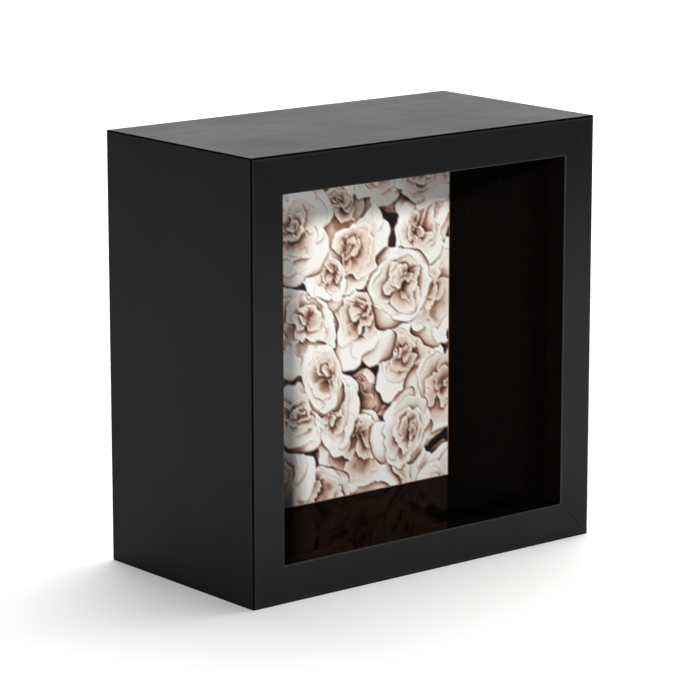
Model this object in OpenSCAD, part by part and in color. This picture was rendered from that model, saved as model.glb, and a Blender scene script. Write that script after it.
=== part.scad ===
// Deep square shadow box: four mitred rails, a glass pane held by a liner, and a backing
// board with a print, which eight bendable steel tabs in the side walls can hold in place.
// Millimetres. X is the width, +Y points to the rear, Z is up, and the box stands on Z = 0.

/* [Display] */
// Width of the glass and of the backing board
board_w = 203.2; // [150:0.1:300]
// Height of the glass and of the backing board
board_h = 203.2; // [150:0.1:300]
// Depth of the display space, from the glass to the print
cavity_d = 82; // [30:1:150]
// Thickness of the glass
glass_t = 2; // [1.5:0.5:4]
// Thickness of the backing board
board_t = 3; // [2:0.5:6]
// Thickness of the print
print_t = 0.3; // [0.2:0.1:1]

/* [Frame] */
// Width of the rail as seen from the front
face_w = 20; // [17:0.5:40]
// Thickness of the rail's wall behind the front lip
wall_t = 12; // [9:0.5:18]
// Thickness of the lip that holds the glass, front to back
lip_t = 12.5; // [5:0.5:25]
// Depth of the recess behind the backing board
recess_d = 21.4; // [16:0.1:40]
// Radius of the outer front edge
outer_edge_r = 0.8; // [0.3:0.1:2]
// Radius of the edge around the window
window_edge_r = 0.5; // [0.2:0.1:2]
// Width of the fine chamfer on each side of a mitre line
mitre_vee = 0.2; // [0.1:0.05:0.5]
// Chamfer on the four outer corners
corner_chamfer = 0.4; // [0.2:0.1:1]
// Chamfer on the rim's rear edges
rim_chamfer = 0.5; // [0.2:0.1:1]

/* [Liner] */
// Thickness of the liner boards
liner_t = 4.2; // [2:0.1:6]

/* [Bend tabs] */
// Width of a tab
tab_w = 8; // [5:0.5:12]
// Thickness of a tab
tab_t = 0.6; // [0.4:0.1:1]
// Length of the part of a tab that shows
tab_l = 14; // [8:0.5:20]
// Length of the part of a tab that is driven into the wall
anchor_l = 7.5; // [4:0.5:8]
// Distance between the two tabs of one side
tab_spacing = 110; // [60:1:115]

/* [Fasteners and hardware] */
// Length of each leg of a V-nail
vnail_leg = 4.5; // [3:0.5:5]
// Thickness of a V-nail's sheet
vnail_t = 0.6; // [0.4:0.1:1]
// Length of a V-nail along the rail's depth
vnail_l = 12; // [7:1:15]
// Length of the sawtooth hanger
hanger_l = 44; // [36:1:60]
// Height of the sawtooth hanger
hanger_h = 8; // [6:0.5:9]
// Thickness of the hanger's sheet
hanger_t = 0.8; // [0.6:0.1:1.2]
// How far the hanger's middle stands off the rim
hanger_lift = 1.2; // [0.8:0.1:2]
// Number of teeth on the hanger
hanger_teeth = 9; // [5:1:11]
// Diameter of a hanger nail's shank
nail_d = 1.4; // [1.2:0.1:2]
// Length of a hanger nail's shank
nail_l = 10; // [6:1:14]
// Diameter of a felt bumper
bumper_d = 10; // [6:0.5:12]
// Thickness of a felt bumper, which has to be more than the hanger's
bumper_t = 2.4; // [2.2:0.1:4]

/* [Fits] */
// Gap around the glass and the backing board
board_clear = 1; // [0.8:0.1:2]
// Gap between the liner boards and what is beside them
liner_clear = 0.1; // [0.05:0.05:0.3]
// Gap between the print's edge and the liner
print_clear = 0.5; // [0.2:0.1:2]
// Gap between the liner and the print, and between the board and the tabs
seat_clear = 0.1; // [0.05:0.05:0.3]
// Gap between a nail's shank and its hole, each side
nail_clear = 0.05; // [0.02:0.01:0.1]

/* [Hidden] */

inner_w = board_w + 2 * board_clear;
inner_h = board_h + 2 * board_clear;
frame_w = inner_w + 2 * wall_t;
frame_h = inner_h + 2 * wall_t;

// Depths of each layer, counted from the front face
glass_y = lip_t;
liner_y = glass_y + glass_t;
print_y = liner_y + cavity_d + seat_clear;
board_y = print_y + print_t;
tab_y = board_y + board_t + seat_clear;
frame_d = board_y + board_t + recess_d;
front_y = -(frame_d + bumper_t) / 2;

liner_in = wall_t + liner_clear + liner_t;
print_w = frame_w - 2 * (liner_in + print_clear);
print_h = frame_h - 2 * (liner_in + print_clear);

// The bend line lies half a thickness off the wall, so that a tab bent back lies flat against it
tab_root = wall_t + tab_t / 2 + 0.02;
tab_step = tab_spacing / 2;
vnail_in = (wall_t - vnail_leg) * 0.65;
vnail_sink = 0.3;
tooth_pitch = hanger_l * 0.5 / hanger_teeth;
tooth_d = 1.2;
hanger_in = wall_t / 2;
hanger_flat = hanger_l * 0.19;
hanger_ramp = 2.5;
nail_x = (hanger_l - hanger_flat) / 2;
bumper_x = frame_w / 2 - wall_t - bumper_d / 2;
nail_head_d = 2.3 * nail_d;
nail_head_t = 0.7;
margin = 1;
round_fn = 48;
black = "#26272a";
liner_black = "#15120f";
mdf = "#a07850";
steel = "#b9bcc0";
tab_black = "#1c1c1e";

// Sides of the frame as [turn about Y, length of the side's rail, half the box across it]
bottom_side = [0, frame_w, frame_h / 2];
left_side = [90, frame_h, frame_w / 2];
top_side = [180, frame_w, frame_h / 2];
right_side = [-90, frame_h, frame_w / 2];
all_sides = [bottom_side, left_side, top_side, right_side];

function arc(c, r, from, to, steps = 6) = [
    for (i = [0:steps])
        let (a = from + (to - from) * i / steps)
        [c[0] + r * cos(a), c[1] + r * sin(a)]
];

// The rail's section as [depth, distance in from the outer face]
rail_section = concat(
    [[frame_d, rim_chamfer], [frame_d - rim_chamfer, 0]],
    arc([outer_edge_r, outer_edge_r], outer_edge_r, 270, 180),
    arc([window_edge_r, face_w - window_edge_r], window_edge_r, 180, 90),
    [[lip_t, face_w], [lip_t, wall_t], [frame_d - rim_chamfer, wall_t], [frame_d, wall_t - rim_chamfer]]
);

// Puts children drawn on the bottom side onto any side: x along it, y rearwards, z inwards
module on_side(side) {
    translate([0, front_y, frame_h / 2])
        rotate([0, side[0], 0])
            translate([0, 0, -side[2]])
                children();
}

// Extrudes an outline drawn in x and z from depth y, towards the rear
module plate(y, thickness) {
    translate([0, y + thickness, 0])
        rotate([90, 0, 0])
            linear_extrude(thickness)
                children();
}

module mitred_bar(length) {
    reach = face_w + margin;
    intersection() {
        rotate([90, 0, 90])
            linear_extrude(length, center = true)
                polygon(rail_section);
        plate(-margin, frame_d + 2 * margin)
            polygon([
                [-length / 2, 0], [length / 2, 0],
                [length / 2 - reach, reach], [reach - length / 2, reach]
            ]);
    }
}

// Cuts at the mitre on the bar's +x end: the fine chamfer on the face, half of the vee that
// shows between two rails, and the chamfer on the outer corner
module mitre_cuts(length) {
    corner = corner_chamfer * sqrt(2);
    cutter = 4 * mitre_vee;
    translate([length / 2, 0, 0]) {
        rotate([0, -135, 0])
            rotate([45, 0, 0])
                translate([-margin, mitre_vee / sqrt(2) - cutter, -cutter / 2])
                    cube([face_w * sqrt(2) + 2 * margin, cutter, cutter]);
        rotate([0, 45, 0])
            translate([-corner / 2, -margin, -corner / 2])
                cube([corner, frame_d + 2 * margin, corner]);
    }
}

// One V-nail at the +x end of a side, with its legs in the two rails that meet there
module v_nail(length, extra = 0) {
    translate([length / 2 - vnail_in - vnail_leg, 0, vnail_in + vnail_leg])
        plate(frame_d - vnail_sink - vnail_l, vnail_l + extra)
            mirror([0, 1])
                polygon([
                    [0, 0], [vnail_leg, 0], [vnail_leg, vnail_t],
                    [vnail_t, vnail_t], [vnail_t, vnail_leg], [0, vnail_leg]
                ]);
}

module tab_anchor(sign) {
    translate([sign * tab_step, 0, wall_t])
        plate(tab_y, tab_t)
            polygon([
                [-tab_w / 2, 0], [-tab_w / 2, -anchor_l * 0.6], [0, -anchor_l],
                [tab_w / 2, -anchor_l * 0.6], [tab_w / 2, 0]
            ]);
}

module nail_holes(d) {
    for (sign = [-1, 1])
        translate([sign * nail_x, frame_d - nail_l - margin, hanger_in])
            rotate([-90, 0, 0])
                cylinder(h = nail_l + 2 * margin, d = d, $fn = round_fn);
}

module rail(side) {
    color(black)
        on_side(side)
            difference() {
                mitred_bar(side[1]);
                for (end = [0, 1])
                    mirror([end, 0, 0]) {
                        mitre_cuts(side[1]);
                        v_nail(side[1], vnail_sink + margin);
                    }
                for (sign = [-1, 1]) tab_anchor(sign);
                if (side == top_side) nail_holes(nail_d + 2 * nail_clear);
            }
}

module corner_v_nails() {
    color(steel)
        for (side = all_sides)
            on_side(side) v_nail(side[1]);
}

// A flat sheet or board, centred on the window
module centred_sheet(w, h, y, t) {
    translate([-w / 2, front_y + y, (frame_h - h) / 2])
        cube([w, t, h]);
}

module glass_pane() {
    color("lightcyan", 0.35)
        centred_sheet(board_w, board_h, glass_y, glass_t);
}

// Liner boards: the top and bottom ones run right across, and the side ones stand between them
module liner(side, length) {
    color(liner_black)
        on_side(side)
            translate([-length / 2, liner_y, wall_t + liner_clear])
                cube([length, cavity_d, liner_t]);
}

liner_across = inner_w - 2 * liner_clear;
liner_between = inner_h - 2 * (liner_t + 2 * liner_clear);

module picture_print() {
    color("#d9c8bd")
        centred_sheet(print_w, print_h, print_y, print_t);
}

module backing_board() {
    color(mdf)
        centred_sheet(board_w, board_h, board_y, board_t);
}

module tab_anchors() {
    color(tab_black)
        for (side = all_sides)
            on_side(side)
                for (sign = [-1, 1]) tab_anchor(sign);
}

// The part of a tab that shows, bent back out of the board's way: it lies along the wall and
// points to the rear, with a round root on the bend line and a round free end
module flex_tab(side, sign) {
    color(tab_black)
        on_side(side)
            translate([sign * tab_step, tab_y + tab_t / 2, tab_root]) {
                rotate([0, 90, 0])
                    cylinder(h = tab_w, d = tab_t, center = true, $fn = round_fn);
                translate([0, 0, -tab_t / 2])
                    linear_extrude(tab_t) {
                        translate([-tab_w / 2, 0])
                            square([tab_w, tab_l - tab_w / 2]);
                        translate([0, tab_l - tab_w / 2])
                            circle(d = tab_w, $fn = round_fn);
                    }
            }
}

// The sawtooth hanger's front view: a strip with teeth along its lower edge
module hanger_outline() {
    half = hanger_l / 2;
    teeth_half = tooth_pitch * hanger_teeth / 2;
    polygon(concat(
        [[-half, 0], [-half, hanger_h], [-teeth_half, hanger_h]],
        [for (i = [0:hanger_teeth - 1])
            each [
                [-teeth_half + (i + 0.5) * tooth_pitch, hanger_h - tooth_d],
                [-teeth_half + (i + 1) * tooth_pitch, hanger_h]
            ]],
        [[half, hanger_h], [half, 0]]
    ));
}

// The hanger's side view: flat ends on the rim and a middle that stands off it
module hanger_bend() {
    half = hanger_l / 2;
    foot = half - hanger_flat;
    crest = foot - hanger_ramp;
    polygon([
        [-half, 0], [-foot, 0], [-crest, hanger_lift], [crest, hanger_lift], [foot, 0], [half, 0],
        [half, hanger_t], [foot, hanger_t], [crest, hanger_lift + hanger_t],
        [-crest, hanger_lift + hanger_t], [-foot, hanger_t], [-half, hanger_t]
    ]);
}

module sawtooth_hanger() {
    color(steel)
        on_side(top_side)
            difference() {
                translate([0, 0, hanger_in - hanger_h / 2])
                    intersection() {
                        plate(frame_d - margin, bumper_t + 2 * margin)
                            hanger_outline();
                        translate([0, frame_d, -margin])
                            linear_extrude(hanger_h + 2 * margin)
                                hanger_bend();
                    }
                nail_holes(nail_d + 2 * nail_clear);
            }
}

module hanger_nails() {
    color(steel)
        on_side(top_side)
            for (sign = [-1, 1])
                translate([sign * nail_x, frame_d + hanger_t, hanger_in])
                    rotate([-90, 0, 0]) {
                        translate([0, 0, -nail_l])
                            cylinder(h = nail_l, d = nail_d, $fn = round_fn);
                        cylinder(h = nail_head_t, d1 = nail_head_d, d2 = nail_head_d * 0.7, $fn = round_fn);
                    }
}

module wall_bumpers() {
    body_t = bumper_t * 0.7;
    color("#3a3a3c")
        on_side(bottom_side)
            for (sign = [-1, 1])
                translate([sign * bumper_x, frame_d, wall_t / 2])
                    rotate([-90, 0, 0]) {
                        cylinder(h = body_t, d = bumper_d, $fn = round_fn);
                        translate([0, 0, body_t])
                            cylinder(h = bumper_t - body_t, d1 = bumper_d, d2 = bumper_d * 0.8, $fn = round_fn);
                    }
}

rail(top_side);  // top_rail
rail(bottom_side);  // bottom_rail
rail(left_side);  // left_rail
rail(right_side);  // right_rail
corner_v_nails();
glass_pane();
liner(top_side, liner_across);  // liner_top
liner(bottom_side, liner_across);  // liner_bottom
liner(left_side, liner_between);  // liner_left
liner(right_side, liner_between);  // liner_right
picture_print();
backing_board();
tab_anchors();
flex_tab(top_side, 1);  // flex_tab_top_left
flex_tab(top_side, -1);  // flex_tab_top_right
flex_tab(bottom_side, -1);  // flex_tab_bottom_left
flex_tab(bottom_side, 1);  // flex_tab_bottom_right
flex_tab(left_side, -1);  // flex_tab_left_upper
flex_tab(left_side, 1);  // flex_tab_left_lower
flex_tab(right_side, 1);  // flex_tab_right_upper
flex_tab(right_side, -1);  // flex_tab_right_lower
sawtooth_hanger();
hanger_nails();
wall_bumpers();
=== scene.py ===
import math

import bpy
import numpy as np
from mathutils import Matrix, Vector


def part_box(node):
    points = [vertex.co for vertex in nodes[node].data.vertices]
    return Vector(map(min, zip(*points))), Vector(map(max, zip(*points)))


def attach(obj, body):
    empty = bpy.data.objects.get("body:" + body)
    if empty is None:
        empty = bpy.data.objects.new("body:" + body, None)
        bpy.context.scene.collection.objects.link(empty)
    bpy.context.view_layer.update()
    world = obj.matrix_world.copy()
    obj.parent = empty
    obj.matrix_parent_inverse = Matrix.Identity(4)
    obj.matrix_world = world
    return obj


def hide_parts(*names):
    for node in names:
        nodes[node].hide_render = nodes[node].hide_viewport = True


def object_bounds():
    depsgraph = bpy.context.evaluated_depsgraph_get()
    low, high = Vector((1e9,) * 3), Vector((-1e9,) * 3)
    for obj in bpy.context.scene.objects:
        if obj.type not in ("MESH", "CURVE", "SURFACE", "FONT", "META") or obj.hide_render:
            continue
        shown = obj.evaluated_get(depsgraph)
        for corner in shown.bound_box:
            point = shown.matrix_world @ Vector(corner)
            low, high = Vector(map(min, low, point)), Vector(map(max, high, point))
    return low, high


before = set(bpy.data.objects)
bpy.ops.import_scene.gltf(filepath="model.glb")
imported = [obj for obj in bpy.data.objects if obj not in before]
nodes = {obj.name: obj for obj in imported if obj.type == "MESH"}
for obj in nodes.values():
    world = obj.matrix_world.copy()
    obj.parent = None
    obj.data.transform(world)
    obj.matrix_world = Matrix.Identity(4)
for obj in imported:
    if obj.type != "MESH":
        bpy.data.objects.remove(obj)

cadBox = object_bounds()


class Wire:
    # a node's output that can be used in sums and products
    def __init__(self, graph, socket):
        self.graph, self.socket = graph, socket

    def __add__(self, other): return self.graph.maths("ADD", self, other)
    def __radd__(self, other): return self.graph.maths("ADD", other, self)
    def __sub__(self, other): return self.graph.maths("SUBTRACT", self, other)
    def __rsub__(self, other): return self.graph.maths("SUBTRACT", other, self)
    def __mul__(self, other): return self.graph.maths("MULTIPLY", self, other)
    def __rmul__(self, other): return self.graph.maths("MULTIPLY", other, self)
    def __truediv__(self, other): return self.graph.maths("DIVIDE", self, other)
    def __rtruediv__(self, other): return self.graph.maths("DIVIDE", other, self)
    def __gt__(self, other): return self.graph.maths("GREATER_THAN", self, other)
    def __lt__(self, other): return self.graph.maths("LESS_THAN", self, other)
    def __abs__(self): return self.graph.maths("ABSOLUTE", self, 0)


class Graph:
    # wraps a node tree; add() makes any node from its type, settings and sockets
    def __init__(self, tree):
        self.tree = tree
        self.column = 0

    def make(self, kind, settings=None, sockets=None):
        made = self.tree.nodes.new(kind)
        self.column += 1
        made.location = (200 * (self.column % 12), -220 * (self.column // 12))
        for key, value in (settings or {}).items():
            if key == "stops":
                ramp = made.color_ramp
                while len(ramp.elements) < len(value):
                    ramp.elements.new(0.5)
                for stop, (place, colour) in zip(ramp.elements, value):
                    stop.position, stop.color = place, (*colour, 1)
            else:
                setattr(made, key, value)
        for key, value in (sockets or {}).items():
            if isinstance(value, Wire):
                self.tree.links.new(value.socket, made.inputs[key])
            else:
                made.inputs[key].default_value = value
        return made

    def add(self, kind, settings=None, sockets=None, out=0):
        return Wire(self, self.make(kind, settings, sockets).outputs[out])

    def maths(self, operation, first, second=0.0):
        return self.add("ShaderNodeMath", {"operation": operation}, {0: first, 1: second})

    def least(self, first, second):
        return self.maths("MINIMUM", first, second)

    def most(self, first, second):
        return self.maths("MAXIMUM", first, second)


class Paint(Graph):
    # a material; the finished shader goes to its output
    def __init__(self, name):
        self.material = bpy.data.materials.new(name)
        self.material.use_nodes = True
        super().__init__(self.material.node_tree)
        self.tree.nodes.clear()
        self.place = self.add("ShaderNodeTexCoord", out="Object")

    def split(self):
        made = self.make("ShaderNodeSeparateXYZ", None, {0: self.place})
        return [Wire(self, made.outputs[axis]) for axis in range(3)]

    def stretched(self, scale):
        return self.add("ShaderNodeMapping", None, {"Vector": self.place, "Scale": scale})

    def noise(self, scale, detail=2.0, roughness=0.5, vector=None):
        return self.add("ShaderNodeTexNoise", None, {
            "Vector": vector or self.place, "Scale": scale, "Detail": detail, "Roughness": roughness})

    def fade(self, value, low, high, start=0.0, end=1.0):
        return self.add("ShaderNodeMapRange", {"interpolation_type": "SMOOTHSTEP"}, {
            "Value": value, "From Min": low, "From Max": high, "To Min": start, "To Max": end})

    def mix(self, factor, first, second):
        first, second = [c if isinstance(c, Wire) else (*c, 1) for c in (first, second)]
        return self.add("ShaderNodeMix", {"data_type": "RGBA"}, {0: factor, 6: first, 7: second}, out=2)

    def bump(self, height, distance, strength=1.0, normal=None):
        sockets = {"Height": height, "Distance": distance, "Strength": strength}
        if normal:
            sockets["Normal"] = normal
        return self.add("ShaderNodeBump", None, sockets)

    def principled(self, **sockets):
        named = {key.replace("_", " "): value for key, value in sockets.items()}
        for key in ("Base Color", "Specular Tint", "Coat Tint"):
            if key in named and not isinstance(named[key], Wire):
                named[key] = (*named[key], 1)
        return self.add("ShaderNodeBsdfPrincipled", None, named)

    def finish(self, shader):
        self.make("ShaderNodeOutputMaterial", None, {"Surface": shader})
        return self.material


class Shape(Graph):
    # a Geometry Nodes tree with named inputs
    def __init__(self, name, inputs):
        tree = bpy.data.node_groups.new(name, "GeometryNodeTree")
        for label, value in inputs.items():
            kind = "NodeSocketInt" if isinstance(value, int) else "NodeSocketFloat"
            tree.interface.new_socket(label, in_out="INPUT", socket_type=kind)
        tree.interface.new_socket("Geometry", in_out="OUTPUT", socket_type="NodeSocketGeometry")
        super().__init__(tree)
        group = self.make("NodeGroupInput")
        self.values = inputs
        self.inputs = {label: Wire(self, group.outputs[label]) for label in inputs}

    def vector(self, x=0.0, y=0.0, z=0.0):
        return self.add("ShaderNodeCombineXYZ", None, {0: x, 1: y, 2: z})

    def position(self):
        made = self.make("ShaderNodeSeparateXYZ", None, {0: self.add("GeometryNodeInputPosition")})
        return [Wire(self, made.outputs[axis]) for axis in range(3)]

    def clamp(self, value):
        return self.add("ShaderNodeClamp", None, {"Value": value, "Min": 0.0, "Max": 1.0})

    def power(self, value, exponent):
        return self.maths("POWER", value, exponent)

    def step(self, value, low, high):
        return self.add("ShaderNodeMapRange", {"interpolation_type": "SMOOTHSTEP"}, {
            "Value": value, "From Min": low, "From Max": high, "To Min": 0.0, "To Max": 1.0})

    def bell(self, value, middle, width):
        far = (value - middle) / width
        return self.clamp(1 - far * far)

    def joined(self, *parts):
        made = self.make("GeometryNodeJoinGeometry")
        for part in parts:
            self.tree.links.new(part.socket, made.inputs[0])
        return Wire(self, made.outputs[0])

    def thickened(self, sheet, amount):
        # the sheet's copy moved by amount, its walls, and the turned sheet close the shape
        shell = self.add("GeometryNodeExtrudeMesh", None, {
            "Mesh": sheet, "Offset": self.vector(0, 0, 1), "Offset Scale": amount, "Individual": False})
        closed = self.joined(shell, self.add("GeometryNodeFlipFaces", None, {0: sheet}))
        return self.add("GeometryNodeMergeByDistance", None, {"Geometry": closed, "Distance": 1e-6})

    def end(self, geometry, material):
        real = self.add("GeometryNodeRealizeInstances", None, {0: geometry})
        painted = self.add("GeometryNodeSetMaterial", None, {"Geometry": real, "Material": material})
        self.make("NodeGroupOutput", None, {0: painted})

    def run(self, name, material):
        # runs the tree once and keeps the result as a plain mesh
        holder = bpy.data.objects.new(name + "Source", bpy.data.meshes.new(name + "Source"))
        bpy.context.collection.objects.link(holder)
        modifier = holder.modifiers.new(name, "NODES")
        modifier.node_group = self.tree
        for item in self.tree.interface.items_tree:
            if item.in_out == "INPUT":
                modifier[item.identifier] = self.values[item.name]
        evaluated = holder.evaluated_get(bpy.context.evaluated_depsgraph_get())
        mesh = bpy.data.meshes.new_from_object(evaluated)
        bpy.data.objects.remove(holder)
        return addPiece(name, mesh, material)


def addPiece(name, mesh, material):
    mesh.name = name
    mesh.materials.clear()
    mesh.materials.append(material)
    piece = bpy.data.objects.new(name, mesh)
    bpy.context.collection.objects.link(piece)
    return piece


def meshFrom(name, points, faces):
    mesh = bpy.data.meshes.new(name)
    mesh.from_pydata(points, [], faces)
    mesh.update()
    return mesh


def paintNode(name, material):
    for slot in nodes[name].material_slots:
        slot.material = material


def finishPiece(piece, body, node):
    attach(piece, body)
    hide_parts(node)


studio = {
    "eye": (-1.1025, -1.3410, 0.4892),     # metres, camera's place
    "heading": 39.39,                      # degrees from +Y towards +X
    "dip": 12.40,                          # degrees below level
    "lens": 172.76,                        # mm on a 36 mm sensor
    "floorColour": (0.95, 0.95, 0.945),
    "worldColour": (1.0, 1.0, 1.0), "worldStrength": 0.05,
    "keyPlace": (-2.06, -2.24, 1.08), "keySize": 0.20, "keyPower": 98.0,
    "topPlace": (1.6, 0.8, 2.6), "topSize": 3.6, "topPower": 147.0,
    "backDistance": 3.2, "backHeight": 0.9, "backSize": (4.0, 1.5), "backPower": 27.0,
}


def aimed(place, target):
    forward = Vector(target) - Vector(place)
    return forward.to_track_quat("-Z", "Y").to_euler()


def addArea(name, place, target, size, power):
    light = bpy.data.lights.new(name, "AREA")
    light.shape = "RECTANGLE"
    light.size, light.size_y = size
    light.energy = power
    lamp = bpy.data.objects.new(name, light)
    lamp.location = place
    lamp.rotation_euler = aimed(place, target)
    bpy.context.collection.objects.link(lamp)
    return lamp


def addStudio(s):
    scene = bpy.context.scene
    scene.view_settings.view_transform = "Standard"
    heading, dip = math.radians(s["heading"]), math.radians(s["dip"])
    forward = Vector((math.sin(heading) * math.cos(dip), math.cos(heading) * math.cos(dip), -math.sin(dip)))
    camera = bpy.data.objects.new("camera", bpy.data.cameras.new("camera"))
    camera.data.lens, camera.data.sensor_width = s["lens"], 36
    camera.data.clip_start, camera.data.clip_end = 0.02, 60
    camera.location = s["eye"]
    camera.rotation_euler = aimed(s["eye"], Vector(s["eye"]) + forward)
    bpy.context.collection.objects.link(camera)
    scene.camera = camera

    world = bpy.data.worlds.new("studioWorld")
    world.use_nodes = True
    sky = Graph(world.node_tree)
    seen = sky.add("ShaderNodeLightPath")              # 1 where the camera looks straight at it
    background = world.node_tree.nodes["Background"]
    background.inputs["Color"].default_value = (*s["worldColour"], 1)
    strength = s["worldStrength"] + seen * (1 - s["worldStrength"])
    world.node_tree.links.new(strength.socket, background.inputs["Strength"])
    scene.world = world

    middle = Vector((0, 0, cadBox[1][2] / 2))
    addArea("keyLight", s["keyPlace"], middle, (s["keySize"], s["keySize"]), s["keyPower"])
    topX, topY, _ = s["topPlace"]
    addArea("topLight", s["topPlace"], (topX, topY, 0), (s["topSize"], s["topSize"]), s["topPower"])
    back = Vector((math.sin(heading), math.cos(heading), 0)) * s["backDistance"]
    back.z = s["backHeight"]
    addArea("backLight", back, middle, s["backSize"], s["backPower"])

    paint = Paint("paleFloor")
    cloud = paint.noise(3.0, 3.0)
    colour = paint.mix(cloud * 0.06, s["floorColour"], (0.86, 0.86, 0.86))
    floorMesh = meshFrom("floor", [(-9, -9, 0), (9, -9, 0), (9, 9, 0), (-9, 9, 0)], [(0, 1, 2, 3)])
    floor = addPiece("floor", floorMesh, paint.finish(paint.principled(Base_Color=colour, Roughness=0.9)))


addStudio(studio)
print("studio ready")


foil = {
    "dark": (0.0042, 0.0042, 0.0043), "light": (0.0078, 0.0077, 0.0076),
    # the lighter colour of worn arrises, also used for the painted highlights next to them
    "rubbed": (0.040, 0.038, 0.037),
    "roughness": 0.40, "ior": 1.18,
    "frontGrey": (0.78, 2.40), "sideGrey": (0.15, 0.70),   # painted light on the front and painted shade on the sides, least and most
    "grainAcross": 2600.0, "grainAlong": 22.0,
    "grains": ((1, 3.0, 0.65), (7, 2.0, 0.5), (18, 2.0, 0.5)),   # how much coarser, detail, roughness
    "cloudSize": 24.0, "scuffSize": 420.0,
    "toneShares": (0.45, 0.30, 0.25),      # fine streaks, clouds, broad bands
    "glossSpread": (0.10, 0.16, 0.06),     # the same three, in the roughness
    "rubWidth": 0.0011, "arris": (0.0006, 0.0010),
    "rubShares": (0.35, 0.8),              # painted highlights: the line next to an arris, the window's edge
    "rubStrength": 0.6, "rubRoughness": 0.15,
    "bump": 0.00004, "bareBump": 0.00012, "bareRoughness": 0.86,
    "foldOver": 0.0012,                    # how far the foil laps onto the rear rim
}
board = {"dark": (0.23, 0.135, 0.070), "light": (0.40, 0.255, 0.140)}

# where the rails' faces lie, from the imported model
halfWidth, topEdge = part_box("right_rail")[1][0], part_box("top_rail")[1][2]
frontEdge, rearEdge = (corner[1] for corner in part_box("left_rail"))
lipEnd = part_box("glass_pane")[0][1]
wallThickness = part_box("liner_bottom")[0][2]
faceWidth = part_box("bottom_rail")[1][2]


def rawBoardColour(paint, tones):
    # pressed fibres: fine specks, short dark hairs and slow clouds
    speck = paint.noise(1500.0, 3.0, 0.7)
    hair = paint.noise(1.0, 2.0, 0.6, paint.stretched((900, 900, 260)))
    cloud = paint.noise(14.0, 2.0)
    tone = paint.fade(speck * 0.55 + hair * 0.35 + cloud * 0.16, 0.36, 0.74)
    return paint.mix(tone, tones["dark"], tones["light"]), speck * 0.6 + hair * 0.4


liner = {
    "dark": (0.0013, 0.0010, 0.0009), "light": (0.0033, 0.0025, 0.0021),
    "roughness": 0.60,
    "sheenIor": 1.023, "sheenColour": (0.92, 0.55, 0.40), "sheenRoughness": 0.06,
}


def blackLacquer(paint, matt=0.0):
    # nearly black, with a weak brown mirror at a slant
    mottle = paint.noise(220.0, 4.0, 0.6)
    grit = paint.noise(2600.0, 2.0, 0.6)
    colour = paint.mix(mottle, liner["dark"], liner["light"])
    normal = paint.bump(mottle * 0.4 + grit * 0.6, 0.000006, 0.4)
    body = paint.principled(Base_Color=colour, Roughness=liner["roughness"] + (grit - 0.5) * 0.08,
                            Specular_IOR_Level=0.0, Normal=normal)
    sheen = paint.add("ShaderNodeBsdfAnisotropic", None, {
        "Color": (*liner["sheenColour"], 1), "Roughness": liner["sheenRoughness"], "Normal": normal})
    share = paint.add("ShaderNodeFresnel", None, {"IOR": liner["sheenIor"]}) * (1 - matt)
    return paint.add("ShaderNodeMixShader", None, {0: share, 1: body, 2: sheen})


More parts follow.
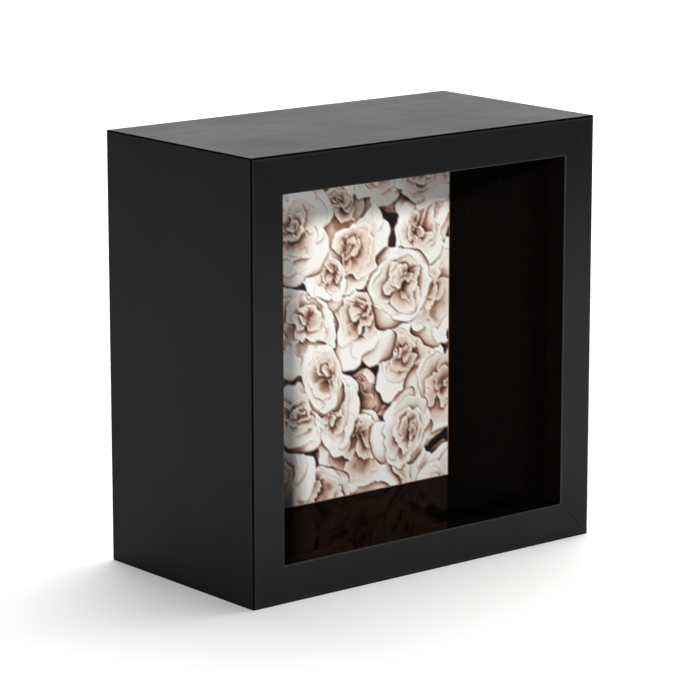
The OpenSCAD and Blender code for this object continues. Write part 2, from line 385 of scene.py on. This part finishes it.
def foilMaterial(name, alongX):
    paint = Paint(name)
    x, y, z = paint.split()
    across, along = foil["grainAcross"], foil["grainAlong"]
    scale = (along, across, across) if alongX else (across, across, along)
    streak, coarse, band = (
        paint.noise(1.0, detail, roughness, paint.stretched([n / coarser for n in scale]))
        for coarser, detail, roughness in foil["grains"])
    cloud = paint.noise(foil["cloudSize"], 3.0, 0.55)
    ofStreak, ofCloud, ofBand = foil["toneShares"]
    skin = paint.mix(streak * ofStreak + cloud * ofCloud + band * ofBand, foil["dark"], foil["light"])
    front = y - frontEdge
    onFront = paint.fade(front, 0.0001, 0.0006, 1.0, 0.0)
    (frontLeast, frontMost), (sideLeast, sideMost) = foil["frontGrey"], foil["sideGrey"]
    # painted light and shade: the front faces lighter than the sides, lightest across the lower middle and
    # darker towards the top and the bottom; the sides darker towards the bottom
    paintedBand = paint.fade(z, 0.120, 0.222, 1.0, 0.0) * paint.fade(z, 0.0, 0.070, 0.45, 1.0)
    frontGrey = frontLeast + paintedBand * (frontMost - frontLeast)
    sideGrey = paint.fade(z, 0.0, 0.18, sideLeast, sideMost)
    paintedLightScale = onFront * frontGrey + (1 - onFront) * sideGrey
    skin = paint.add("ShaderNodeVectorMath", {"operation": "SCALE"}, {0: skin, "Scale": paintedLightScale})
    # arrises worn lighter, and painted highlights next to the front arris and along the window's edge: outer
    # is the way in from the nearest outer face, slant the way from its front arris
    side, above = halfWidth - abs(x), topEdge - z
    outer = paint.least(side, paint.least(z, above))
    slant = front + outer
    scuff = paint.fade(paint.noise(foil["scuffSize"], 4.0, 0.7), 0.52, 0.66)
    # painted highlights: a thin light line next to the front arris, and a light line along the window's edge
    besideHighlight = paint.fade(slant, 0.0010, 0.0013) * paint.fade(slant, 0.0016, 0.0020, 1.0, 0.0)
    windowEdgeHighlight = paint.fade(front + abs(faceWidth - outer), 0.0004, 0.0010, 1.0, 0.0)
    ofBeside, ofWindow = foil["rubShares"]
    # real wear along the arris plus the two painted highlights
    wearAndHighlight = (paint.fade(slant, 0.0, foil["rubWidth"], 1.0, 0.0) * scuff
           + ofBeside * besideHighlight + ofWindow * windowEdgeHighlight)
    skin = paint.mix(wearAndHighlight * foil["rubStrength"], skin, foil["rubbed"])
    # the rear rim and the inner wall are bare board
    ragged = (paint.noise(700.0, 3.0) - 0.5) * 0.0006
    onRim = (y > rearEdge - 0.00025) * (outer + ragged > foil["foldOver"])
    inside = (outer > wallThickness - 0.0004) * (y > lipEnd + 0.0001)
    bare = paint.most(onRim, inside)
    woodColour, woodHeight = rawBoardColour(paint, board)
    colour = paint.mix(bare, skin, woodColour)
    rough = foil["roughness"] + wearAndHighlight * foil["rubRoughness"]
    for grain, spread in zip((streak, cloud, band), foil["glossSpread"]):
        rough = rough + (grain - 0.5) * spread
    rough = rough * (1 - bare) + bare * foil["bareRoughness"]
    foilHeight = streak * 0.4 + coarse * 0.6
    normal = paint.bump(foilHeight * (1 - bare), foil["bump"], 0.6)
    normal = paint.bump(woodHeight * bare, foil["bareBump"], 0.8, normal)
    skinShader = paint.principled(Base_Color=colour, Roughness=rough, Normal=normal, IOR=foil["ior"])
    # the window's reveal is lacquered like the liner, and the front and corner arrises are left matt
    reveal = (outer > faceWidth - 0.0002) * (y > frontEdge + 0.0006) * (y < lipEnd + 0.0001)
    corner = paint.least(side + z, side + above)
    arris = paint.fade(paint.least(slant, corner), *foil["arris"], 1.0, 0.0)
    return paint.finish(paint.add("ShaderNodeMixShader", None, {
        0: paint.most(reveal, arris), 1: skinShader, 2: blackLacquer(paint, arris)}))


foilLevel = foilMaterial("blackFoilLevel", True)
foilUpright = foilMaterial("blackFoilUpright", False)
for name in ("top_rail", "bottom_rail"):
    paintNode(name, foilLevel)
for name in ("left_rail", "right_rail"):
    paintNode(name, foilUpright)
print("rails painted")


def linerMaterial():
    paint = Paint("linerBlack")
    return paint.finish(blackLacquer(paint))


linerBlack = linerMaterial()
for name in ("liner_top", "liner_bottom", "liner_left", "liner_right"):
    paintNode(name, linerBlack)


glass = {"tint": (0.985, 0.993, 0.990), "mirrorIor": 1.035, "edge": (0.10, 0.26, 0.20)}


def glassMaterial():
    # thin low-reflection glass: clear straight on, a soft mirror at a slant
    paint = Paint("clearGlass")
    through = paint.add("ShaderNodeBsdfTransparent", None, {"Color": (*glass["tint"], 1)})
    smear = paint.noise(18.0, 3.0)
    mirror = paint.add("ShaderNodeBsdfAnisotropic", None, {
        "Color": (1, 1, 1, 1), "Roughness": paint.fade(smear, 0.35, 0.75, 0.0, 0.05)})
    share = paint.add("ShaderNodeFresnel", None, {"IOR": glass["mirrorIor"]})
    return paint.finish(paint.add("ShaderNodeMixShader", None, {0: share, 1: through, 2: mirror}))


paintNode("glass_pane", glassMaterial())
print("liner and glass painted")


bouquet = {
    "seed": 5, "grain": 624, "cells": 312,
    "roses": 40, "overlap": (0.90, 1.30), "radius": (0.092, 0.150),
    "lowRoses": 64, "lowRadius": (0.09, 0.13),
    "outerPetals": (6, 9), "innerPetals": (18, 26), "turn": 2.399963,
    "opening": (0.55, 0.80), "lean": (0.15, 0.75), "squash": (0.70, 0.97), "warmth": (0.40, 1.0),
    "light": (0.975, 0.930, 0.896), "blush": (0.885, 0.762, 0.692), "deep": (0.62, 0.45, 0.36),
    "gap": (0.06, 0.042, 0.036),
    "lightFrom": (-0.30, -0.50, 0.81),
    "hollows": ((2, 0.9), (4, 1.4), (9, 1.3), (18, 1.1), (36, 0.7)), "hollowDepth": 2.6,
    "rimLight": 0.10, "crisp": 0.7, "crispWidth": 2,
    "petalWave": (0.032, 0.030),           # how wavy the edges are, outside and in the heart
    "dome": 0.46, "domeReach": 1.08,       # how high a rose swells, and how far out it is level
    "drift": (0.055, 0.012, 0.026, 0.007), # how far petals stray: whole rose, outer, heart, fine crumple
}


def eased(low, high, value):
    t = np.clip((value - low) / (high - low), 0, 1)
    return t * t * (3 - 2 * t)


def blurred(picture, radius):
    # two running means along each side
    r = max(1, int(round(radius)))
    for axis in (0, 1, 0, 1):
        pad = [(r + 1, r) if axis == side else (0, 0) for side in range(picture.ndim)]
        total = np.cumsum(np.pad(picture, pad, mode="edge"), axis=axis, dtype=np.float64)
        wide = 2 * r + 1
        total = total[wide:] - total[:-wide] if axis == 0 else total[:, wide:] - total[:, :-wide]
        picture = (total / wide).astype(np.float32)
    return picture


def blended(first, second, share):
    share = np.asarray(share)[..., None]
    return first * (1 - share) + second * share


class RoseBed:
    # roses laid petal over petal into a colour field and a height field
    def __init__(self, b):
        self.b, self.size = b, b["grain"]
        self.rng = np.random.default_rng(b["seed"])
        side = (self.size, self.size)
        self.height = np.full(side, -1.0, np.float32)
        self.rim = np.zeros(side, np.float32)
        self.colour = np.empty((*side, 3), np.float32)
        self.colour[:] = b["gap"]
        self.down, self.across = np.mgrid[0:self.size, 0:self.size].astype(np.float32) / self.size
        self.light, self.blush, self.deep = (np.array(b[key]) for key in ("light", "blush", "deep"))
        self.wide, self.mid, self.fine = [
            [self.cloud(scale), self.cloud(scale)] for scale in (0.03, 0.010, 0.004)]

    def cloud(self, scale):
        field = blurred(
            self.rng.standard_normal((self.size, self.size)).astype(np.float32), scale * self.size)
        return (field - field.mean()) / field.std()

    def spread(self, count, edge, tries):
        # each new spot is the one of a few tries that lies farthest from the others
        spots = []
        for _ in range(count):
            options = self.rng.uniform(-edge, 1 + edge, (tries, 2))
            gaps = [min([np.hypot(*(p - q)) for q in spots], default=9) for p in options]
            spots.append(options[int(np.argmax(gaps))])
        return np.array(spots)

    def petal(self, area, x, y, way, half, reach, wave, rimAmount, heightOf, colourOf):
        uniform = self.rng.uniform
        s = ((np.arctan2(y, x) - way + np.pi) % (2 * np.pi) - np.pi) / half
        ripple = np.sin(s * uniform(3, 5) + uniform(0, 6)) + 0.5 * np.sin(s * uniform(8, 12) + uniform(0, 6))
        tapered = np.sqrt(np.clip(1 - np.abs(s) ** 6, 0, 1))
        edge = reach * (1 - 0.13 * np.abs(s) ** 2.6 + wave * ripple) * tapered
        t = np.hypot(x, y) / np.maximum(edge, 1e-6)
        inside = (t < 1) & (np.abs(s) < 1)
        if inside.any():
            t = np.minimum(t, 1)
            np.copyto(self.colour[area], colourOf(t, s).astype(np.float32), where=inside[..., None])
            np.copyto(self.height[area], heightOf(t, s).astype(np.float32), where=inside)
            np.copyto(self.rim[area], (eased(0.90, 0.985, t) * rimAmount).astype(np.float32), where=inside)

    def rose(self, centreX, centreY, radius, lift):
        b, uniform = self.b, self.rng.uniform
        span = [[int(np.clip((c + k * radius) * self.size, 0, self.size)) for k in (-1.15, 1.15)]
                for c in (centreY, centreX)]
        if min(high - low for low, high in span) < 4:
            return
        area = tuple(slice(*pair) for pair in span)
        lean, leanWay, squash = uniform(*b["lean"]), uniform(0, 2 * np.pi), uniform(*b["squash"])
        opening, warmth, closed = uniform(*b["opening"]), uniform(*b["warmth"]), uniform() < 0.2
        cosine, sine = np.cos(leanWay), np.sin(leanWay)
        x, y = (self.across[area] - centreX) / radius, (self.down[area] - centreY) / radius
        main, cross = (x * cosine + y * sine) / squash, y * cosine - x * sine
        wholeDrift, outerDrift, heartDrift, crumple = b["drift"]
        x = main * cosine - cross * sine + wholeDrift * self.wide[0][area]
        y = main * sine + cross * cosine + wholeDrift * self.wide[1][area]
        outerWave, heartWave = b["petalWave"]
        dome = lift + b["dome"] * (1 - (np.hypot(x, y) / b["domeReach"]) ** 2)
        start, spin = uniform(0, 2 * np.pi), self.rng.choice([-1, 1])

        outer = int(self.rng.integers(*b["outerPetals"]))
        for index in range(outer):             # broad smooth petals around the cup
            q = index / (outer - 1)
            reach = 1 - (0.90 - opening) * q ** 0.85 + uniform(-0.03, 0.03)
            shift, tilt = lean * (1 - reach), uniform(-0.10, 0.10)
            tone, vein = uniform(0.975, 1.01), uniform(0, 6)

            def heightOf(t, s):
                return (dome + 0.05 + 0.16 * q + tilt * s + 0.05 * t ** 3 - 0.05 * eased(0.93, 1.0, t)
                        - 0.03 * np.abs(s) ** 3)

            def colourOf(t, s):
                share = np.clip(0.81 - 0.75 * t, 0, 1) * 0.8 * (0.35 + 0.65 * q) * warmth
                veins = tone * (1 + 0.010 * np.sin(s * 31 + vein) * (1 - t))
                return blended(self.light, self.blush, share) * veins[..., None]

            petalX, petalY = (axis - way * shift + outerDrift * self.mid[k][area]
                              for k, (axis, way) in enumerate(((x, cosine), (y, sine))))
            self.petal(area, petalX, petalY, start + spin * index * b["turn"] + uniform(-0.25, 0.25),
                       uniform(0.66, 0.92), reach, outerWave, 0.25, heightOf, colourOf)

        inner = int(self.rng.integers(*b["innerPetals"]))
        level = lift + b["dome"] * (1 - (opening / b["domeReach"]) ** 2) + 0.24
        for index in range(inner):             # the cup and its crumpled heart
            q = index / (inner - 1)
            reach = opening * (1 - q) ** (1.15 if closed else 0.85) * uniform(0.90, 1.10) + 0.055
            shift, loose = lean * (1 - reach), 0.045 * (0.5 + q)
            top = level + uniform(-0.06, 0.05) - 0.10 * np.sin(np.pi * q) * (not closed) + 0.10 * q
            wall, curl, fold = uniform(0.34, 0.62) * (1 - 0.35 * q), uniform(-0.06, 0.06), uniform(0, 6)
            heart, tone = warmth * (0.35 + 0.65 * eased(0, 0.5, q)), uniform(0.95, 1.02)

            def heightOf(t, s):
                return (top - wall * (1 - t) ** 1.1 + curl * s + 0.030 * np.sin(s * 5 + fold) * t
                        - 0.06 * eased(0.95, 1.0, t))

            def colourOf(t, s):
                foot = blended(self.blush, self.deep, 0.35 + 0.5 * heart)
                tip = blended(self.light * 0.985, self.blush, heart * 0.75)
                return blended(foot, tip, eased(0.30, 0.95, t)) * tone

            petalX, petalY = (
                axis - way * shift + heartDrift * self.mid[k][area] + crumple * self.fine[k][area]
                - self.rng.normal(0, loose)
                for k, (axis, way) in enumerate(((x, cosine), (y, sine))))
            self.petal(area, petalX, petalY,
                       start + spin * (outer + index) * b["turn"] + uniform(-0.45, 0.45),
                       uniform(0.80, 1.35) - 0.3 * q, reach, heartWave, 0.55 + 0.4 * heart,
                       heightOf, colourOf)

    def grow(self):
        b, uniform = self.b, self.rng.uniform
        for spot in self.spread(b["lowRoses"], 0.05, 8):
            self.rose(*spot, uniform(*b["lowRadius"]), uniform(-0.75, -0.42))
        spots = self.spread(b["roses"], 0.04, 14)
        for rank, index in enumerate(np.argsort(uniform(size=len(spots)))):
            others = np.delete(spots, index, axis=0)
            nearest = np.hypot(*(others - spots[index]).T).min()
            radius = np.clip(nearest * uniform(*b["overlap"]), *b["radius"])
            self.rose(*spots[index], radius, uniform(-0.16, 0.08) + 0.16 * rank / len(spots))

    def lit(self):
        # light from the upper left, hollows darkened at several widths, and short cast shadows
        b, unit, height = self.b, self.size / 1000, self.height
        slopes = np.gradient(blurred(height, self.size / 700))
        slopeY, slopeX = (np.clip(g * self.size * 0.016, -1.4, 1.4) for g in slopes)
        toLight = np.array(b["lightFrom"]) / np.linalg.norm(b["lightFrom"])
        facing = toLight[2] - slopeX * toLight[0] - slopeY * toLight[1]
        facing = np.clip(facing / np.sqrt(1 + slopeX ** 2 + slopeY ** 2), 0, 1)
        hollow = 0
        for width, weight in b["hollows"]:
            depth = blurred(height, width * unit) - height - 0.004 * width ** 0.5
            hollow = hollow + weight * np.clip(depth, 0, 0.04 + 0.018 * width)
        shadow = np.zeros_like(height)
        for far in (3, 6, 10, 16, 24):
            moved = np.roll(height, (round(far * 0.77 * unit), round(far * 0.50 * unit)), (0, 1))
            shadow = np.maximum(shadow, np.clip(moved - height - far * 0.010, 0, 0.25) / 0.25)
        shade = (0.76 + 0.32 * facing / toLight[2]) * (1 - 0.26 * blurred(shadow, 2 * unit))
        shade = np.clip(shade * np.exp(-b["hollowDepth"] * hollow), 0, 1.08)
        shade = 0.2 * blurred(shade, 2.2 * unit) + 0.8 * shade
        warm = np.stack([shade ** 0.66, shade, shade ** 1.20], -1)
        picture = self.colour * warm + (b["rimLight"] * self.rim * eased(0.25, 0.8, shade))[..., None]
        picture = np.clip(picture, 0, 1)
        crisp = picture + b["crisp"] * (picture - blurred(picture, b["crispWidth"]))
        return np.clip(crisp, 0, 1)


def printMesh(b, box):
    # a fine grid in front, a folded-over edge and a plain back make one closed sheet
    cells = b["cells"]
    low, high = box
    side = cells + 1
    xs, zs = np.linspace(low[0], high[0], side), np.linspace(high[2], low[2], side)
    gridX, gridZ = np.meshgrid(xs, zs)
    front = np.stack([gridX, np.full_like(gridX, low[1]), gridZ], -1).reshape(-1, 3)
    index = np.arange(side * side).reshape(side, side)
    quads = np.stack([index[:-1, :-1], index[1:, :-1], index[1:, 1:], index[:-1, 1:]], -1).reshape(-1, 4)
    loop = np.concatenate([index[0, :-1], index[:-1, -1], index[-1, :0:-1], index[:0:-1, 0]])
    behind = front[loop] + np.array([0, high[1] - low[1], 0])
    first = len(front)
    count = len(loop)
    walls = [(loop[i], loop[(i + 1) % count], first + (i + 1) % count, first + i) for i in range(count)]
    centre = first + count
    fan = [(first + i, first + (i + 1) % count, centre) for i in range(count)]
    points = np.concatenate([front, behind, [[(low[0] + high[0]) / 2, high[1], (low[2] + high[2]) / 2]]])
    mesh = meshFrom("rosePrint", points.tolist(), quads.tolist() + walls + fan)
    bed = RoseBed(b)
    bed.grow()
    picture = bed.lit()
    step = b["grain"] // cells
    soft = picture.reshape(cells, step, cells, step, 3).mean((1, 3))
    padded = np.pad(soft, ((0, 1), (0, 1), (0, 0)), mode="edge")
    shifted = np.pad(soft, ((1, 0), (1, 0), (0, 0)), mode="edge")
    corners = (padded + shifted) / 2
    colours = np.ones((len(points), 4), np.float32)
    colours[:, :3] = 0.86
    srgb = corners.reshape(-1, 3)
    colours[:first, :3] = np.where(srgb <= 0.04045, srgb / 12.92, ((srgb + 0.055) / 1.055) ** 2.4)
    layer = mesh.color_attributes.new("picture", "FLOAT_COLOR", "POINT")
    layer.data.foreach_set("color", colours.ravel())
    return mesh


def printMaterial():
    paint = Paint("rosePrint")
    ink = paint.add("ShaderNodeVertexColor", {"layer_name": "picture"})
    fibre = paint.noise(2200.0, 3.0, 0.6)
    tone = paint.noise(35.0, 2.0)
    colour = paint.mix(0.02 * fibre, ink, (0.86, 0.80, 0.74))
    rough = 0.52 + (tone - 0.5) * 0.08
    normal = paint.bump(fibre, 0.00001, 0.4)
    return paint.finish(paint.principled(
        Base_Color=colour, Roughness=rough, Specular_IOR_Level=0.25, Normal=normal))


picturePrint = addPiece("rosePrint", printMesh(bouquet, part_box("picture_print")), printMaterial())
finishPiece(picturePrint, "back_panel", "picture_print")
print("print made")


def boardMaterial():
    # smooth in front, with the fine screen marks of pressed board behind
    paint = Paint("rawBoard")
    x, y, z = paint.split()
    colour, height = rawBoardColour(paint, {"dark": (0.16, 0.085, 0.040), "light": (0.29, 0.165, 0.085)})
    weave = [paint.maths("SINE", axis * 3600.0) for axis in (x, z)]   # a mark every 1.7 mm
    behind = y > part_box("backing_board")[1][1] - 0.0006
    screen = weave[0] * weave[1] * behind
    normal = paint.bump(height * 0.5 + screen * 0.35, 0.00015, 0.9)
    return paint.finish(paint.principled(Base_Color=colour, Roughness=0.78, Normal=normal))


paintNode("backing_board", boardMaterial())


def metalMaterial(name, light, dark, roughness, metallic, brushed=(700, 700, 700)):
    paint = Paint(name)
    brush = paint.noise(1.0, 3.0, 0.6, paint.stretched(brushed))
    stain = paint.noise(160.0, 4.0, 0.65)
    scratch = paint.fade(paint.noise(1.0, 2.0, 0.5, paint.stretched((4000, 300, 900))), 0.62, 0.70)
    colour = paint.mix(paint.fade(stain, 0.38, 0.70), light, dark)
    rough = roughness + (brush - 0.5) * 0.16 + (stain - 0.5) * 0.10 - scratch * 0.06
    normal = paint.bump(brush * 0.7 - scratch * 0.3, 0.000012, 0.7)
    return paint.finish(paint.principled(
        Base_Color=colour, Roughness=rough, Metallic=metallic, Normal=normal))


blackSteel = metalMaterial("blackSteel", (0.030, 0.030, 0.033), (0.055, 0.050, 0.047), 0.38, 0.75)
zincSteel = metalMaterial("zincSteel", (0.58, 0.59, 0.61), (0.40, 0.41, 0.43), 0.34, 1.0)
brassPlate = metalMaterial("brassPlate", (0.78, 0.58, 0.27), (0.55, 0.38, 0.16), 0.30, 1.0, (200, 3000, 3000))
paintNode("tab_anchors", blackSteel)
paintNode("corner_v_nails", zincSteel)
paintNode("sawtooth_hanger", brassPlate)

tab = {"Gauge": 0.00042, "Bead": 0.00017, "Tip": 0.36}


def bendTabs():
    # a strip of spring steel with a pressed rib and a rounded free end; one tree, eight plain meshes
    low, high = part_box("flex_tab_bottom_left")
    values = {"Width": high[0] - low[0], "Length": high[1] - low[1], **tab}
    shape = Shape("bendTab", values)
    width, length, gauge, bead, tip = (shape.inputs[key] for key in (
        "Width", "Length", "Gauge", "Bead", "Tip"))
    sheet = shape.add("GeometryNodeMeshGrid", None, {
        "Size X": 1.0, "Size Y": 1.0, "Vertices X": 17, "Vertices Y": 37})
    u, v, _ = shape.position()
    along = v + 0.5
    past = shape.clamp((along - 1) / tip + 1)                      # 0 until the rounding starts, 1 at the end
    narrow = shape.power(shape.clamp(1.0004 - past * past), 0.5)
    waist = 1 - 0.10 * shape.bell(along, 0.10, 0.06)              # slightly necked where it bends
    ridge = shape.clamp(1 - 26 * u * u) * shape.step(along, 0.18, 0.30) * (1 - shape.step(along, 0.70, 0.84))
    crown = 0.4 * shape.clamp(1 - 4 * u * u)
    place = shape.vector(u * width * narrow * waist, along * length, (ridge * 0.6 + crown) * bead)
    moved = shape.add("GeometryNodeSetPosition", None, {"Geometry": sheet, "Position": place})
    shape.end(shape.thickened(moved, gauge), blackSteel)
    turns = {"bottom": 0, "left": 90, "top": 180, "right": -90}
    for name in nodes:
        if not name.startswith("flex_tab_"):
            continue
        side = name.split("_")[2]
        piece = shape.run(name, blackSteel)
        low, high = (Vector(corner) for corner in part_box(name))
        middle = (low + high) / 2
        wall = {"bottom": (middle.x, low.y, low.z), "top": (middle.x, low.y, high.z),
                "left": (low.x, low.y, middle.z), "right": (high.x, low.y, middle.z)}[side]
        piece.data.transform(Matrix.Translation(wall) @ Matrix.Rotation(math.radians(turns[side]), 4, "Y"))
        piece.name = "bentStrip_" + name[9:]
        finishPiece(piece, name.replace("flex_", ""), name)


bendTabs()
print("tabs made")

nail = {"Head": 0.0016, "HeadHigh": 0.00085, "Shank": 0.00066, "Point": 0.0012}


def hangerNails():
    # turned round nails: domed head, shank and point, all from one radius rule along a line
    low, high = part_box("hanger_nails")
    length = high[1] - low[1]
    shape = Shape("hangerNail", {"Length": length, **nail, "Apart": (high[0] - low[0]) - 2 * nail["Head"]})
    size, head, headHigh, shank, point, apart = (shape.inputs[key] for key in (
        "Length", "Head", "HeadHigh", "Shank", "Point", "Apart"))
    line = shape.add("GeometryNodeCurvePrimitiveLine", None, {
        "Start": (0, 0, 0), "End": shape.vector(0, 0 - size, 0)})
    fine = shape.add("GeometryNodeResampleCurve", {"mode": "COUNT"}, {"Curve": line, "Count": 90})
    far = shape.add("GeometryNodeSplineParameter", out=1)
    dome = shape.power(shape.clamp(1 - shape.power(shape.clamp(1 - far / headHigh), 2.2)), 0.5)
    inHead = far < headHigh
    taper = shape.clamp((size - far) / point)
    radius = inHead * (dome * head * 0.98 + 0.00002) + (1 - inHead) * shank * (taper * 0.96 + 0.04)
    ring = shape.add("GeometryNodeCurvePrimitiveCircle", {"mode": "RADIUS"}, {
        "Resolution": 28, "Radius": 1.0})
    body = shape.add("GeometryNodeCurveToMesh", None, {
        "Curve": fine, "Profile Curve": ring, "Scale": radius, "Fill Caps": True})
    spots = shape.add("GeometryNodeMeshLine", {"mode": "END_POINTS"}, {
        "Count": 2, "Start Location": shape.vector(apart * -0.5), "Offset": shape.vector(apart * 0.5)})
    pair = shape.add("GeometryNodeInstanceOnPoints", None, {"Points": spots, "Instance": body})
    shape.end(pair, brassPlate)
    piece = shape.run("hangerNails", brassPlate)
    middle = (Vector(low) + Vector(high)) / 2
    piece.data.transform(Matrix.Translation((middle.x, high[1], middle.z)))
    finishPiece(piece, "frame", "hanger_nails")


hangerNails()

felt = {"Round": 0.0007, "Hairs": 5200000.0, "HairLength": 0.00055, "Seed": 3}   # hairs for each square metre


def feltMaterial():
    paint = Paint("greyFelt")
    fuzz = paint.noise(3200.0, 4.0, 0.75)
    clump = paint.noise(520.0, 3.0, 0.6)
    colour = paint.mix(fuzz * 0.6 + clump * 0.4, (0.030, 0.030, 0.032), (0.115, 0.112, 0.108))
    normal = paint.bump(fuzz * 0.7 + clump * 0.5, 0.00025, 0.9)
    return paint.finish(paint.principled(
        Base_Color=colour, Roughness=0.95, Normal=normal, Specular_IOR_Level=0.2))


def feltPads(material):
    # cut felt discs with soft rims and short stray hairs
    low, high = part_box("wall_bumpers")
    radius, thick = (high[2] - low[2]) / 2, high[1] - low[1]
    shape = Shape("feltPad", {
        "Radius": radius - 0.0001, "Thick": thick - felt["HairLength"] * 0.3, **felt,
        "Apart": high[0] - low[0] - 2 * radius})
    wide, deep, soft, hairs, hairLong, seed, apart = (shape.inputs[key] for key in (
        "Radius", "Thick", "Round", "Hairs", "HairLength", "Seed", "Apart"))
    disc = shape.add("GeometryNodeMeshCylinder", {"fill_type": "TRIANGLE_FAN"}, {
        "Vertices": 48, "Side Segments": 8, "Fill Segments": 9, "Radius": 1.0, "Depth": 1.0})
    x, y, z = shape.position()
    out = shape.power(x * x + y * y, 0.5)
    edge = shape.clamp(1 - (0.5 - abs(z)) * deep / soft)          # 1 on the flat faces, 0 past the rounding
    pull = 1 - (1 - shape.power(shape.clamp(1 - edge * edge), 0.5)) * soft / wide * shape.step(out, 0.7, 1.0)
    lump = (shape.add("ShaderNodeTexNoise", None, {"Scale": 3.4, "Detail": 4.0}) - 0.5) * 0.07
    swell = 0.985 + lump * 0.4
    place = shape.vector(x * wide * pull * swell, z * deep * (0.97 + lump * 0.5), y * wide * pull * swell)
    moved = shape.add("GeometryNodeSetPosition", None, {"Geometry": disc, "Position": place})
    turned = shape.add("GeometryNodeFlipFaces", None, {0: moved})
    scatter = shape.make("GeometryNodeDistributePointsOnFaces", None, {
        "Mesh": turned, "Density": hairs, "Seed": seed})
    hair = shape.add("GeometryNodeMeshCone", {"fill_type": "TRIANGLE_FAN"}, {
        "Vertices": 3, "Side Segments": 1, "Fill Segments": 1,
        "Radius Top": 0.000008, "Radius Bottom": 0.00003, "Depth": hairLong})
    splay = shape.add("FunctionNodeRandomValue", {"data_type": "FLOAT_VECTOR"}, {
        0: (-1.2, -1.2, -3.1), 1: (1.2, 1.2, 3.1)})
    turn = shape.add("FunctionNodeEulerToRotation", None, {0: splay})
    tilt = shape.add("FunctionNodeRotateRotation", {"rotation_space": "LOCAL"}, {
        0: Wire(shape, scatter.outputs["Rotation"]), 1: turn})
    length = shape.add("FunctionNodeRandomValue", {"data_type": "FLOAT"}, {2: 0.4, 3: 1.0}, out=1)
    fuzz = shape.add("GeometryNodeInstanceOnPoints", None, {
        "Points": Wire(shape, scatter.outputs["Points"]), "Instance": hair,
        "Rotation": tilt, "Scale": shape.vector(1, 1, length)})
    pad = shape.add("GeometryNodeRealizeInstances", None, {0: shape.joined(turned, fuzz)})
    spots = shape.add("GeometryNodeMeshLine", {"mode": "END_POINTS"}, {
        "Count": 2, "Start Location": shape.vector(apart * -0.5), "Offset": shape.vector(apart * 0.5)})
    pads = shape.add("GeometryNodeInstanceOnPoints", None, {"Points": spots, "Instance": pad})
    shape.end(pads, material)
    piece = shape.run("feltPads", material)
    middle = (Vector(low) + Vector(high)) / 2
    piece.data.transform(Matrix.Translation((middle.x, low[1] + thick / 2, middle.z)))
    points = np.empty(len(piece.data.vertices) * 3, np.float32)
    piece.data.vertices.foreach_get("co", points)
    points = points.reshape(-1, 3)
    points[:, 1] = np.clip(points[:, 1], low[1], high[1])         # pressed flat against the rim
    piece.data.vertices.foreach_set("co", points.ravel())
    finishPiece(piece, "frame", "wall_bumpers")


feltPads(feltMaterial())
print("hardware made")
